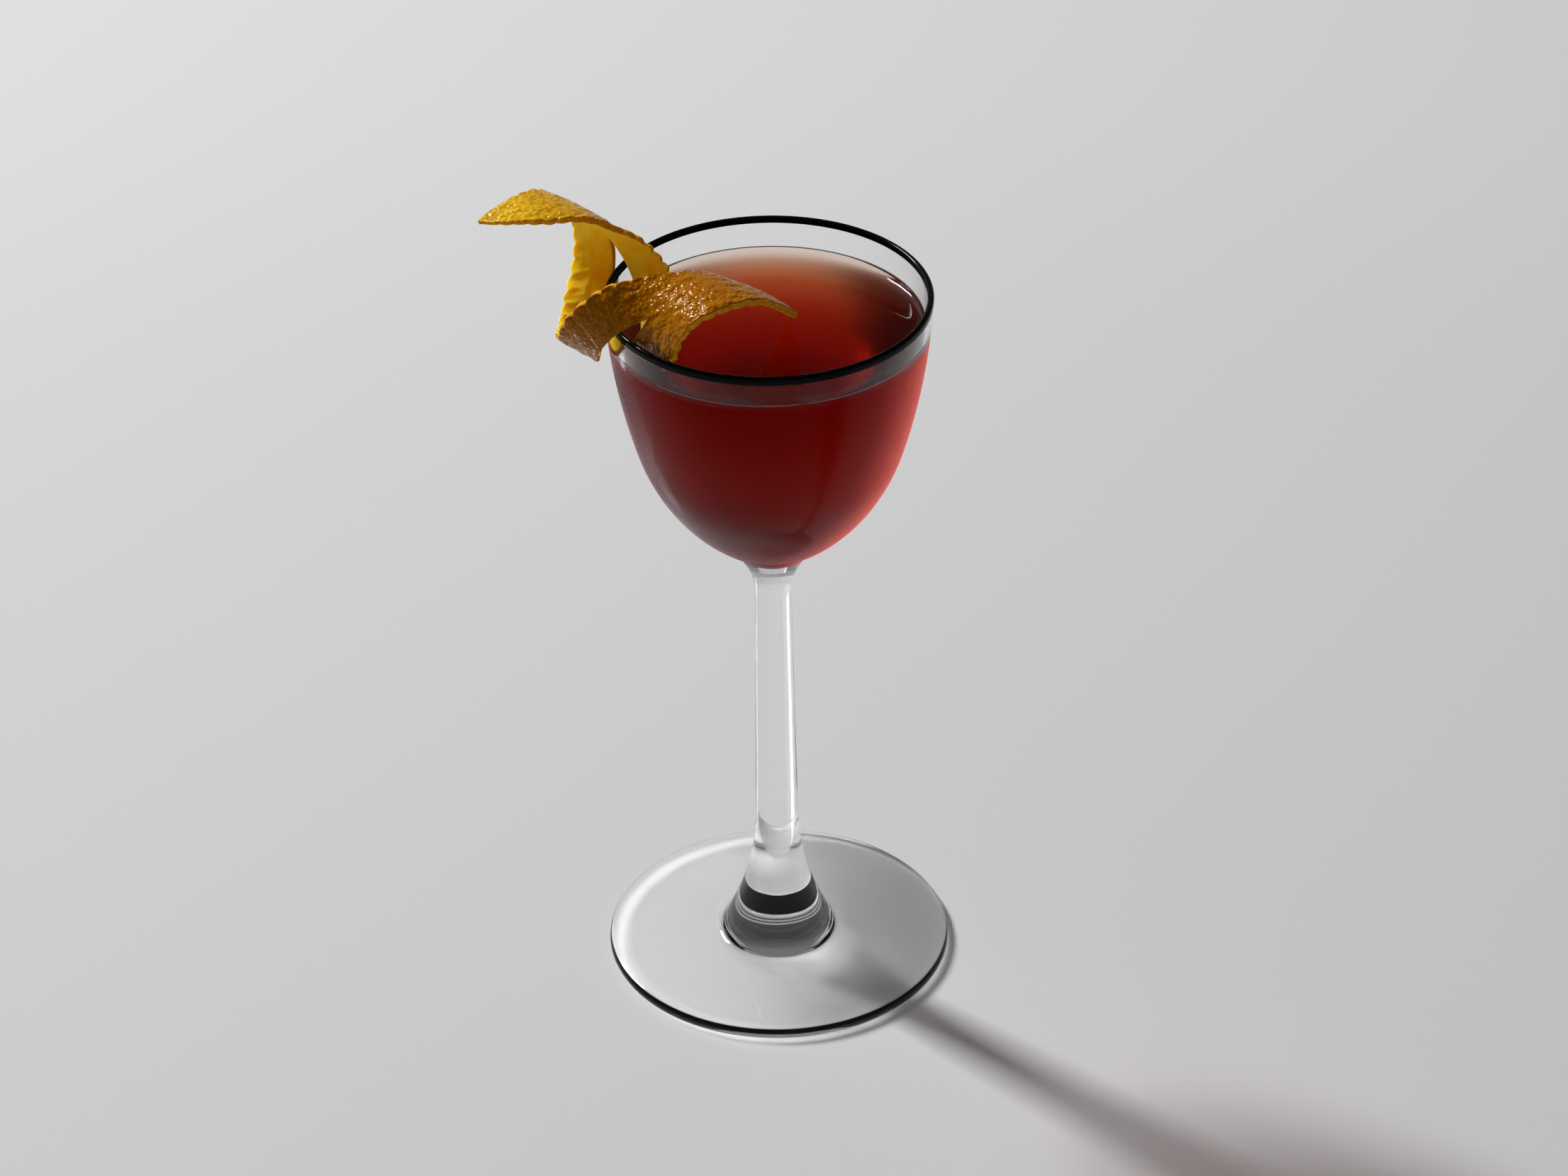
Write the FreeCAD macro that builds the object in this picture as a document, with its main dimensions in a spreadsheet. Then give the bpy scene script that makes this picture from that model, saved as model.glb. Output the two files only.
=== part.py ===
import FreeCAD, Part
import math
import os

import Sketcher

# A stemmed cocktail glass of one piece, filled with a dark red drink, with a slit
# twist of orange peel hooked over its rim.
# The origin is the middle of the foot's resting ring, +Z goes up the stem, and the
# peel hangs on the -X side.

# ------------------------------------------------- driving sizes (mm, leans in degrees)
SIZES = {
    "glass_height": 155.0,
    "rim_radius": 32.0,
    "wall": 1.2,
    "rim_lean": 2.8,         # lean of the wall at the rim
    "shoulder_lean": 16.6,   # where the long upper curve meets the lower one
    "waist_lean": 54.4,      # where the bowl turns back into the stem
    "floor_lean": 50.0,      # where the inner side meets the rounded floor
    "bowl_height": 69.0,     # from the rim to the top of the stem
    "neck_curve": 16.0,
    "stem_top_radius": 3.65,
    "stem_low_radius": 4.4,
    "flare_height": 32.0,    # where the stem begins to spread into the foot
    "flare_lean": 28.0,
    "root_curve": 4.0,
    "foot_radius": 35.5,
    "foot_edge": 2.4,        # thickness of the rounded edge
    "foot_slope": 4.0,
    "ring_width": 3.0,       # the flat ring that the glass stands on
    "foot_hollow": 1.0,
    "drink_drop": 7.7,       # from the rim to the drink's level
    "drink_gap": 0.1,
    "peel_length": 111.6,
    "tongue_width": 8.8,     # from the slit to either edge
    "peel_skin": 0.5,        # from the strip's middle surface out to the skin
    "peel_pith": 0.9,        # and in to the pith
    "peel_crown": 0.7,       # how far the strip bulges toward the skin across its width
    "peel_clearance": 0.3,   # round the peel, where it dips into the drink
    "tip_thin": 0.55,        # share of the thickness left at the tips
    "back_tip": 20.0,        # length of the taper to each tip
    "front_tip": 40.0,
    "tooth_pitch": 2.48,
    "tooth_depth": 0.7,
    "slit_start": 24.8,      # from the back tip
    "slit_end": 67.0,
    "hook": 51.3,            # the place on the strip that the hook_ sizes set
    "hook_in": 4.2,          # inside the rim's radius
    "hook_front": 6.5,
    "hook_drop": 3.6,        # below the rim
    "hook_yaw": -84.0,
    "hook_pitch": -10.0,
    "hook_roll": 165.0,
}

# How each stretch of the peel, from the back tip to the front tip, curls toward its
# pith, bends sideways and twists (degrees over the stretch; all are equally long).
PEEL_STRETCHES = {
    "horn": (19.0, 7.0, -1.0),
    "shoulder": (53.0, 8.0, -21.0),
    "crown": (56.0, -5.0, -55.0),
    "back_leg": (48.0, 2.0, -27.0),
    "fold": (53.0, 3.0, -56.0),
    "front_leg": (51.0, 17.0, -53.0),
    "crossing": (51.0, 24.0, -14.0),
    "tail": (10.0, 32.0, 5.0),
    "tail_tip": (3.0, 9.0, 1.0),
}
PEEL_TURNS = ("curl", "bend", "twist")

# How far each edge of the slit strip swings out sideways and off the skin side at the
# slit's middle, so that the two tongues pass on either side of the wall. The inner
# tongue swings out sideways by the wall's thickness as well.
PEEL_SPREADS = {
    "outer_edge": (4.0, 3.5),
    "outer_slit": (4.0, 7.5),
    "inner_slit": (-2.3, 2.0),
    "inner_edge": (-1.3, -2.0),
}
PEEL_SHIFTS = ("side", "out")

for table, parts in ((PEEL_STRETCHES, PEEL_TURNS), (PEEL_SPREADS, PEEL_SHIFTS)):
    for place, values in table.items():
        SIZES.update({"%s_%s" % (place, part): value for part, value in zip(parts, values)})


# ------------------------------------------------------------------------- sheet and sketch tools
def new_sheet(doc):
    """The spreadsheet that every size is read from."""
    sheet = doc.addObject("Spreadsheet::Sheet", "Sizes")
    for row, (name, value) in enumerate(SIZES.items(), start=1):
        sheet.set("A%d" % row, name)
        sheet.set("B%d" % row, str(value))
        sheet.setAlias("B%d" % row, name)
    return sheet


def origin_feature(body, role):
    return next(f for f in body.Origin.OriginFeatures if f.Role == role)


def point(x, z):
    return FreeCAD.Vector(x, z, 0.0)


def toward(angle):
    """Unit vector in the sketch at an angle in radians."""
    return point(math.cos(angle), math.sin(angle))


class Edge:
    """One edge of an outline, with the sketch's numbers of the ends it is walked from and to."""

    def __init__(self, index, first, last):
        self.index = index
        self.first = first
        self.last = last


class Outline:
    """A chain of lines and arcs in a sketch on a body's XZ plane, in x = radius and y = height."""

    ORIGIN = -1
    AXIS = -2
    CENTRE = 3

    def __init__(self, body, name):
        self.sketch = body.newObject("Sketcher::SketchObject", name)
        self.sketch.AttachmentSupport = [(origin_feature(body, "XZ_Plane"), "")]
        self.sketch.MapMode = "FlatFace"

    def line(self, start, end, construction=False):
        index = self.sketch.addGeometry(Part.LineSegment(start, end), construction)
        return Edge(index, 1, 2)

    def arc(self, centre, start, end, left_turn):
        """An arc from start to end; left_turn says that it is walked anticlockwise."""
        begin, finish = (start, end) if left_turn else (end, start)
        angles = [math.atan2(p.y - centre.y, p.x - centre.x) for p in (begin, finish)]
        if angles[1] < angles[0]:
            angles[1] += 2.0 * math.pi
        circle = Part.Circle(centre, FreeCAD.Vector(0, 0, 1), (start - centre).Length)
        index = self.sketch.addGeometry(Part.ArcOfCircle(circle, angles[0], angles[1]), False)
        return Edge(index, 1, 2) if left_turn else Edge(index, 2, 1)

    def tie(self, *terms):
        return self.sketch.addConstraint(Sketcher.Constraint(*terms))

    def smooth(self, one, other):
        self.tie("Tangent", one.index, one.last, other.index, other.first)

    def corner(self, one, other):
        self.tie("Coincident", one.index, one.last, other.index, other.first)

    def concentric(self, one, other):
        self.tie("Coincident", one.index, self.CENTRE, other.index, self.CENTRE)

    def on_axis(self, edge, end):
        self.tie("PointOnObject", edge.index, end, self.AXIS)

    def size(self, name, formula, *terms):
        """A dimension bound to the sheet."""
        index = self.tie(*terms)
        self.sketch.renameConstraint(index, name)
        self.sketch.setExpression("Constraints." + name, formula)

    def reading(self, name, *terms):
        """A dimension that only reports, for other sketches to follow."""
        index = self.tie(*terms)
        self.sketch.setDriving(index, False)
        self.sketch.renameConstraint(index, name)

    def at(self, name, edge, end, x_formula, z_formula):
        """Place a point by its radius and height."""
        here = self.sketch.getPoint(edge.index, end)
        self.size(name + "_x", x_formula, "DistanceX", self.ORIGIN, 1, edge.index, end, here.x)
        self.size(name + "_z", z_formula, "DistanceY", self.ORIGIN, 1, edge.index, end, here.y)

    def lean(self, name, formula, arc, end):
        """Set the angle of the line from an arc's end to its centre."""
        start = self.sketch.getPoint(arc.index, end)
        centre = self.sketch.getPoint(arc.index, self.CENTRE)
        normal = self.line(start, centre, True)
        self.tie("Coincident", normal.index, 1, arc.index, end)
        self.tie("Coincident", normal.index, 2, arc.index, self.CENTRE)
        angle = math.atan2(centre.y - start.y, centre.x - start.x)
        self.size(name, formula, "Angle", normal.index, angle)

    def radius(self, name, formula, arc):
        geometry = self.sketch.Geometry[arc.index]
        self.size(name, formula, "Radius", arc.index, geometry.Radius)


def revolve(body, outline, name):
    """Turn an outline about the body's Z axis."""
    turned = body.newObject("PartDesign::Revolution", name)
    turned.Profile = outline.sketch
    turned.ReferenceAxis = (origin_feature(body, "Z_Axis"), [""])
    turned.Angle = 360.0
    outline.sketch.Visibility = False
    return turned


# ------------------------------------------------------------------------- glass
class BowlCurves:
    """The bowl's arcs, worked out from the sizes as the sketch's starting shape.

    The long upper curve and the lower curve take the radii that lead from the rim to
    the top of the stem with the leans that are given.
    """

    def __init__(self, v):
        self.lip_centre = point(v["rim_radius"] - v["wall"] / 2, v["glass_height"] - v["wall"] / 2)
        rim, shoulder, waist, floor = [
            -math.radians(v[name]) for name in ("rim_lean", "shoulder_lean", "waist_lean", "floor_lean")
        ]
        neck_end = point(v["stem_top_radius"], v["glass_height"] - v["bowl_height"])
        stem_end = point(v["stem_low_radius"], v["flare_height"])
        run = neck_end - stem_end
        self.stem_lean = math.atan2(-run.x, run.y)
        self.neck_centre = neck_end + toward(self.stem_lean) * v["neck_curve"]
        self.waist = self.neck_centre - toward(waist) * v["neck_curve"]
        self.rim_out = self.lip_centre + toward(rim) * (v["wall"] / 2)
        self.rim_in = self.lip_centre - toward(rim) * (v["wall"] / 2)
        # self.rim_out + upper * (toward(shoulder) - toward(rim)) + lower * (toward(waist) -
        # toward(shoulder)) = self.waist, a pair of linear equations
        across_upper = toward(shoulder) - toward(rim)
        across_lower = toward(waist) - toward(shoulder)
        reach = self.waist - self.rim_out
        det = across_upper.x * across_lower.y - across_upper.y * across_lower.x
        upper = (reach.x * across_lower.y - reach.y * across_lower.x) / det
        lower = (across_upper.x * reach.y - across_upper.y * reach.x) / det
        self.upper_centre = self.rim_out - toward(rim) * upper
        self.shoulder_out = self.upper_centre + toward(shoulder) * upper
        self.shoulder_in = self.upper_centre + toward(shoulder) * (upper - v["wall"])
        self.lower_centre = self.shoulder_out - toward(shoulder) * lower
        self.floor_edge = self.lower_centre + toward(floor) * (lower - v["wall"])
        floor_radius = self.floor_edge.x / math.cos(floor)
        self.floor_centre = self.floor_edge - toward(floor) * floor_radius
        self.floor_centre.x = 0.0
        self.floor_middle = self.floor_centre - point(0.0, floor_radius)
        self.neck_end = neck_end
        self.stem_end = stem_end


class FootCurves:
    """The spread of the stem into the foot, as the sketch's starting shape."""

    def __init__(self, v, stem_end, stem_lean):
        half = v["foot_edge"] / 2
        flare = math.radians(v["flare_lean"])
        top = math.radians(90.0 - v["foot_slope"])
        self.edge_centre = point(v["foot_radius"] - half, half)
        self.edge_top = self.edge_centre + toward(top) * half
        self.edge_bottom = self.edge_centre - point(0.0, half)
        up = toward(top)
        root = (toward(flare) - toward(top)) * v["root_curve"]
        spread = toward(stem_lean) - toward(flare)
        drop = self.edge_top - stem_end - root
        flare_curve = (drop.x * up.x + drop.y * up.y) / (spread.x * up.x + spread.y * up.y)
        self.flare_centre = stem_end + toward(stem_lean) * flare_curve
        self.flare_end = self.flare_centre - toward(flare) * flare_curve
        self.root_centre = self.flare_end + toward(flare) * v["root_curve"]
        self.root_end = self.root_centre - toward(top) * v["root_curve"]
        self.ring_in = self.edge_bottom - point(v["ring_width"], 0.0)
        reach = self.ring_in.x
        rise = v["foot_hollow"]
        self.hollow_top = point(0.0, rise)
        self.hollow_centre = point(0.0, rise - (reach * reach + rise * rise) / (2.0 * rise))


def make_glass(doc, v):
    """Bowl, drawn stem and foot, turned as one piece."""
    body = doc.addObject("PartDesign::Body", "Glass")
    body.Label = "glass"
    bowl = BowlCurves(v)
    foot = FootCurves(v, bowl.stem_end, bowl.stem_lean)
    o = Outline(body, "GlassOutline")
    lip = o.arc(bowl.lip_centre, bowl.rim_in, bowl.rim_out, False)
    upper = o.arc(bowl.upper_centre, bowl.rim_out, bowl.shoulder_out, False)
    lower = o.arc(bowl.lower_centre, bowl.shoulder_out, bowl.waist, False)
    neck = o.arc(bowl.neck_centre, bowl.waist, bowl.neck_end, True)
    stem = o.line(bowl.neck_end, bowl.stem_end)
    flare = o.arc(foot.flare_centre, bowl.stem_end, foot.flare_end, True)
    root = o.arc(foot.root_centre, foot.flare_end, foot.root_end, True)
    slope = o.line(foot.edge_top, foot.root_end)
    slope = Edge(slope.index, 2, 1)
    edge = o.arc(foot.edge_centre, foot.edge_top, foot.edge_bottom, False)
    ring = o.line(foot.edge_bottom, foot.ring_in)
    hollow = o.arc(foot.hollow_centre, foot.ring_in, foot.hollow_top, True)
    core = o.line(foot.hollow_top, bowl.floor_middle)
    floor = o.arc(bowl.floor_centre, bowl.floor_middle, bowl.floor_edge, True)
    lower_in = o.arc(bowl.lower_centre, bowl.floor_edge, bowl.shoulder_in, True)
    upper_in = o.arc(bowl.upper_centre, bowl.shoulder_in, bowl.rim_in, True)

    smooth_run = (lip, upper, lower, neck, stem, flare, root, slope, edge, ring)
    for one, other in zip(smooth_run, smooth_run[1:]):
        o.smooth(one, other)
    for one, other in ((floor, lower_in), (lower_in, upper_in), (upper_in, lip)):
        o.smooth(one, other)
    for one, other in ((ring, hollow), (hollow, core), (core, floor)):
        o.corner(one, other)
    o.concentric(lower_in, lower)
    o.concentric(upper_in, upper)
    for arc in (hollow, floor):
        o.on_axis(arc, o.CENTRE)
    for end in (core.first, core.last):
        o.on_axis(core, end)

    o.radius("lip_radius", "Sizes.wall / 2", lip)
    o.at("lip", lip, o.CENTRE, "Sizes.rim_radius - Sizes.wall / 2", "Sizes.glass_height - Sizes.wall / 2")
    o.at("neck_end", stem, stem.first, "Sizes.stem_top_radius", "Sizes.glass_height - Sizes.bowl_height")
    o.at("stem_end", stem, stem.last, "Sizes.stem_low_radius", "Sizes.flare_height")
    o.radius("neck_radius", "Sizes.neck_curve", neck)
    o.radius("root_radius", "Sizes.root_curve", root)
    o.radius("edge_radius", "Sizes.foot_edge / 2", edge)
    o.at("edge", edge, o.CENTRE, "Sizes.foot_radius - Sizes.foot_edge / 2", "Sizes.foot_edge / 2")
    o.lean("rim_angle", "180 - Sizes.rim_lean", upper, upper.first)
    o.lean("shoulder_angle", "180 - Sizes.shoulder_lean", upper, upper.last)
    o.lean("waist_angle", "180 - Sizes.waist_lean", lower, lower.last)
    o.lean("floor_angle", "180 - Sizes.floor_lean", lower_in, lower_in.first)
    o.lean("flare_angle", "Sizes.flare_lean", flare, flare.last)
    slope_angle = math.radians(180 - v["foot_slope"])
    o.size("slope_angle", "180 - Sizes.foot_slope", "Angle", slope.index, slope_angle)
    o.at("ring_in", ring, ring.last, "Sizes.foot_radius - Sizes.foot_edge / 2 - Sizes.ring_width", "0")
    rise = v["foot_hollow"]
    o.size("hollow_rise", "Sizes.foot_hollow", "DistanceY", o.ORIGIN, 1, core.index, core.first, rise)
    for name, arc in (("upper", upper_in), ("lower", lower_in), ("floor", floor)):
        centre = o.sketch.getPoint(arc.index, o.CENTRE)
        o.reading(name + "_centre_z", "DistanceY", o.ORIGIN, 1, arc.index, o.CENTRE, centre.y)
        o.reading(name + "_curve", "Radius", arc.index, o.sketch.Geometry[arc.index].Radius)
        if arc is not floor:
            o.reading(name + "_centre_x", "DistanceX", o.ORIGIN, 1, arc.index, o.CENTRE, centre.x)
    revolve(body, o, "GlassTurned")
    return body, o


# ------------------------------------------------------------------------- drink
def make_drink(doc, glass_outline, v):
    """The liquid up to its level, turned from arcs that follow the glass's inside, uncut."""
    body = doc.addObject("PartDesign::Body", "FullDrink")
    body.Label = "full_drink"
    source = glass_outline.sketch
    inside = {}
    for name in ("upper", "lower", "floor"):
        radius = source.getDatum(name + "_curve").Value - v["drink_gap"]
        x = 0.0 if name == "floor" else source.getDatum(name + "_centre_x").Value
        inside[name] = (point(x, source.getDatum(name + "_centre_z").Value), radius)
    level = v["glass_height"] - v["drink_drop"]
    shoulder = -math.radians(v["shoulder_lean"])
    floor_lean = -math.radians(v["floor_lean"])
    upper_centre, upper_radius = inside["upper"]
    lower_centre, lower_radius = inside["lower"]
    floor_centre, floor_radius = inside["floor"]
    bottom = floor_centre - point(0.0, floor_radius)
    floor_edge = lower_centre + toward(floor_lean) * lower_radius
    shoulder_edge = upper_centre + toward(shoulder) * upper_radius
    climb = level - upper_centre.y
    shore = point(upper_centre.x + math.sqrt(upper_radius ** 2 - climb ** 2), level)

    o = Outline(body, "DrinkOutline")
    floor = o.arc(floor_centre, bottom, floor_edge, True)
    lower = o.arc(lower_centre, floor_edge, shoulder_edge, True)
    upper = o.arc(upper_centre, shoulder_edge, shore, True)
    surface = o.line(shore, point(0.0, level))
    core = o.line(point(0.0, level), bottom)
    o.smooth(floor, lower)
    o.smooth(lower, upper)
    for one, other in ((upper, surface), (surface, core), (core, floor)):
        o.corner(one, other)
    o.tie("Horizontal", surface.index)
    o.on_axis(core, core.first)
    o.on_axis(core, core.last)
    o.on_axis(floor, o.CENTRE)
    for name, arc in (("upper", upper), ("lower", lower)):
        measured = "GlassOutline.Constraints." + name
        o.at(name, arc, o.CENTRE, measured + "_centre_x", measured + "_centre_z")
    height = "GlassOutline.Constraints.floor_centre_z"
    o.size("floor_z", height, "DistanceY", o.ORIGIN, 1, floor.index, o.CENTRE, floor_centre.y)
    o.radius("upper_radius", "GlassOutline.Constraints.upper_curve - Sizes.drink_gap * 1 mm", upper)
    level_formula = "Sizes.glass_height - Sizes.drink_drop"
    o.size("level", level_formula, "DistanceY", o.ORIGIN, 1, core.index, core.first, level)
    revolve(body, o, "DrinkTurned")
    return body


# ------------------------------------------------------------------------- peel
class PeelStrip:
    """The strip's middle surface: a path with a frame, and the strip's edges across it.

    Along the strip, the frame's X points ahead, its Y to the outer edge and its Z out of
    the skin. Stations are a whole number to a tooth, and the slit and the ends are at stations.
    grow makes the strip that much larger all round.
    """

    PER_TOOTH = 2

    def __init__(self, v, grow=0.0):
        self.v = v
        self.grow = grow
        self.step = v["tooth_pitch"] / self.PER_TOOTH
        self.count = round(v["peel_length"] / self.step)
        self.slit = (round(v["slit_start"] / self.step), round(v["slit_end"] / self.step))
        self.frames = self.walk()

    def turned(self, part, s):
        """The whole turn of one kind from the back tip to the place s."""
        stretch = self.count * self.step / len(PEEL_STRETCHES)
        total = 0.0
        for number, place in enumerate(PEEL_STRETCHES):
            share = min(max(s / stretch - number, 0.0), 1.0)
            total += share * self.v["%s_%s" % (place, part)]
        return total

    def turn(self, i, j):
        """The rotation of the frame from station i to station j."""
        twist, curl, bend = [
            self.turned(part, j * self.step) - self.turned(part, i * self.step)
            for part in ("twist", "curl", "bend")
        ]
        axis = FreeCAD.Vector(twist, curl, bend)
        return FreeCAD.Rotation(axis, axis.Length)

    def walk(self):
        """Place the frame at every station, both ways from the hook."""
        v = self.v
        hook = round(v["hook"] / self.step)
        place = FreeCAD.Vector(
            v["hook_in"] - v["rim_radius"], -v["hook_front"], v["glass_height"] - v["hook_drop"]
        )
        attitude = FreeCAD.Rotation(v["hook_yaw"], v["hook_pitch"], v["hook_roll"])
        frames = {hook: (place, attitude)}
        for stations in (range(hook, self.count), range(hook, 0, -1)):
            way = 1 if stations.step > 0 else -1
            for i in stations:
                here, turn = frames[i]
                ahead = turn.multiply(self.turn(i, i + way))
                middle = turn.multVec(FreeCAD.Vector(1, 0, 0)) + ahead.multVec(FreeCAD.Vector(1, 0, 0))
                frames[i + way] = (here + middle * (way * self.step / 2), ahead)
        return frames

    def narrowing(self, i):
        """The width at station i as a share of the full width, drawn in to both tips."""
        back = min(i * self.step / self.v["back_tip"], 1.0)
        front = min((self.count - i) * self.step / self.v["front_tip"], 1.0)
        return (math.sin(math.pi / 2 * back) * math.sin(math.pi / 2 * front)) ** 0.8

    def half_width(self, i):
        """The half width at station i: every other station is the root of a tooth."""
        share = self.narrowing(i)
        tooth = self.v["tooth_depth"] * share * (i % self.PER_TOOTH)
        return max(self.v["tongue_width"] * share - tooth, self.v["peel_skin"])

    def spread(self, i):
        """From 0 at the slit's ends to 1 at its middle."""
        first, last = self.slit
        share = min(max((i - first) / (last - first), 0.0), 1.0)
        return math.sin(math.pi * share) ** 1.2

    def thickness(self, i):
        """The thickness at station i as a share of the full thickness."""
        nearest = min(i, self.count - i) * self.step / self.v["back_tip"]
        return self.v["tip_thin"] + (1.0 - self.v["tip_thin"]) * min(nearest, 1.0)

    def section(self, i):
        """Skin and pith points at station i, six of each from the outer to the inner edge.

        They are at the outer tongue's edge, middle and slit, and at the inner tongue's slit,
        middle and edge. Where there is no slit, the two points at its place are one.
        """
        v = self.v
        here, turn = self.frames[i]
        axes = ((1, 0, 0), (0, 1, 0), (0, 0, 1))
        ahead, side, out = [turn.multVec(FreeCAD.Vector(*axis)) for axis in axes]
        if i in (0, self.count):
            here += ahead * (self.grow * (1 if i else -1))
        rise = self.spread(i)
        crown = v["peel_crown"] * self.narrowing(i) ** 2
        width = self.half_width(i) + self.grow
        slit = self.grow * rise
        wall = v["wall"] * rise
        edges = []
        for place, across, bulge in (
            ("outer_edge", width, 0.0),
            ("outer_slit", -slit, crown),
            ("inner_slit", slit - wall, crown),
            ("inner_edge", -width - wall, 0.0),
        ):
            swing = side * v[place + "_side"] + out * v[place + "_out"]
            edges.append(here + side * across + out * (bulge * (1.0 - rise)) + swing * rise)
        outer, inner = [(a + b) * 0.5 + out * (crown / 4) for a, b in (edges[:2], edges[2:])]
        middle = [edges[0], outer, edges[1], edges[2], inner, edges[3]]
        thick = self.thickness(i)
        skin = [p + out * (v["peel_skin"] * thick + self.grow) for p in middle]
        pith = [p - out * (v["peel_pith"] * thick + self.grow) for p in middle]
        return skin, pith

    def faces(self):
        """Points and triangles of the closed strip, with its slit."""
        points = []
        rings = []
        first, last = self.slit
        for i in range(self.count + 1):
            ring = []
            for row in self.section(i):
                places = list(range(len(points), len(points) + 6))
                if not first < i < last:
                    places[3] = places[2]
                points += row
                ring.append(places)
            rings.append(ring)
        triangles = []

        def quad(a, b, c, d):
            for corners in ((a, b, c), (a, c, d)):
                if len(set(corners)) == 3:
                    triangles.append(corners)

        for i, ((skin, pith), (next_skin, next_pith)) in enumerate(zip(rings, rings[1:])):
            for k in (0, 1, 3, 4):
                quad(skin[k], skin[k + 1], next_skin[k + 1], next_skin[k])
                quad(pith[k + 1], pith[k], next_pith[k], next_pith[k + 1])
            walls = [(0, 1), (5, -1)]
            if first <= i < last:
                walls += [(2, -1), (3, 1)]
            for k, way in walls:
                quad(*(skin[k], next_skin[k], next_pith[k], pith[k])[::way])
        for (skin, pith), way in ((rings[0], 1), (rings[-1], -1)):
            for k in (0, 1, 3, 4):
                quad(*(skin[k], pith[k], pith[k + 1], skin[k + 1])[::way])
        return points, triangles

    def solid(self):
        shape = Part.Shape()
        shape.makeShapeFromMesh(self.faces(), 0.001)
        solid = Part.makeSolid(Part.makeShell(shape.Faces))
        if solid.Volume < 0:
            solid.reverse()
        return solid


def make_peel(doc, v, label, grow=0.0):
    """The slit twist of peel, faceted, hooked over the rim at its slit."""
    peel = doc.addObject("Part::Feature", label.title().replace("_", ""))
    peel.Label = label
    peel.Shape = PeelStrip(v, grow).solid()
    peel.Placement = FreeCAD.Placement()
    return peel


def cut_round(doc, drink, pocket):
    """The drink, with room for the peel where the peel dips into it."""
    cut = doc.addObject("Part::Cut", "Drink")
    cut.Base = drink
    cut.Tool = pocket
    cut.Label = "drink"
    cut.Placement = FreeCAD.Placement()
    return cut


# ------------------------------------------------------------------------- the whole
def check(doc):
    """Stop on any object that failed, and on any sub-part that isn't one sound solid."""
    for item in doc.Objects:
        bad = {"Invalid", "Error"} & set(item.State)
        if bad:
            raise RuntimeError("%s is %s" % (item.Name, ", ".join(bad)))


def main():
    doc = FreeCAD.newDocument("drink")
    sheet = new_sheet(doc)
    doc.recompute()
    v = {name: float(sheet.get(name)) for name in SIZES}
    glass, outline = make_glass(doc, v)
    doc.recompute()
    full = make_drink(doc, outline, v)
    pocket = make_peel(doc, v, "peel_pocket", v["peel_clearance"])
    drink = cut_round(doc, full, pocket)
    peel = make_peel(doc, v, "orange_peel")
    doc.recompute()
    check(doc)
    os.makedirs("parts", exist_ok=True)
    for part in (glass, drink, peel):
        shape = part.Shape
        if shape.isNull() or not shape.isValid() or len(shape.Solids) != 1:
            raise RuntimeError(part.Label + " is not one sound solid")
        shape.Solids[0].exportStep("parts/%s.step" % part.Label)
        box = shape.optimalBoundingBox()
        print(
            "%-12s %9.1f mm3   x %.1f..%.1f   y %.1f..%.1f   z %.1f..%.1f"
            % (part.Label, shape.Volume, box.XMin, box.XMax, box.YMin, box.YMax, box.ZMin, box.ZMax)
        )


main()
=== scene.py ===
import math

import bmesh
import bpy
import numpy as np
from mathutils import Euler, Matrix, Quaternion, Vector


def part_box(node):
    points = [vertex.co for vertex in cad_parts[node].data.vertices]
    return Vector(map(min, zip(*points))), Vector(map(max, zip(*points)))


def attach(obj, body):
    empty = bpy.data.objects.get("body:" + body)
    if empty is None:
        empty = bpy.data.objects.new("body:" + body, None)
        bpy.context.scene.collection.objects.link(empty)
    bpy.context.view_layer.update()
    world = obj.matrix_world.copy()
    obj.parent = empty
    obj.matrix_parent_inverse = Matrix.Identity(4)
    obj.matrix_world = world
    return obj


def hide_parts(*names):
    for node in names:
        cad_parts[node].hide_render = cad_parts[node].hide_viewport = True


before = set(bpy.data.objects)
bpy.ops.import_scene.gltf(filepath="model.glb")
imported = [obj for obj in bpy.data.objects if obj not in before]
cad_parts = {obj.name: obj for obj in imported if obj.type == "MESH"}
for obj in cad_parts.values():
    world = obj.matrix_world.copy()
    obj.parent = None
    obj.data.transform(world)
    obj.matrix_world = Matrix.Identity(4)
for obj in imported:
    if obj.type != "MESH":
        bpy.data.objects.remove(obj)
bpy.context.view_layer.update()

MM = 0.001
SEED = 11

_, glass_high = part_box("glass")
_, drink_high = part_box("drink")
HEIGHT = glass_high.z / MM
LEVEL = drink_high.z / MM
FOOT_RADIUS = glass_high.x / MM

# The glass's sizes in millimetres and degrees, as its CAD model has them.
GLASS = {
    "rim_radius": 32.0,
    "wall": 1.2,
    "rim_lean": 2.8,
    "shoulder_lean": 16.6,
    "waist_lean": 54.4,
    "floor_lean": 50.0,
    "bowl_height": 69.0,
    "neck_curve": 16.0,
    "stem_top_radius": 3.65,
    "stem_low_radius": 4.4,
    "flare_height": 32.0,
    "flare_lean": 28.0,
    "root_curve": 4.0,
    "foot_edge": 2.4,
    "foot_slope": 4.0,
    "ring_width": 3.0,
    "foot_hollow": 1.0,
}


# ---------------------------------------------------------------- small helpers
def toward(angle):
    """Unit vector that leans up from the radius by an angle in radians."""
    return np.array([math.cos(angle), math.sin(angle)])


def arc(centre, radius, first, last, count):
    """Points of an arc, from one angle to the other, both in radians."""
    angles = np.linspace(first, last, count)
    return [centre + toward(a) * radius for a in angles]


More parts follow.
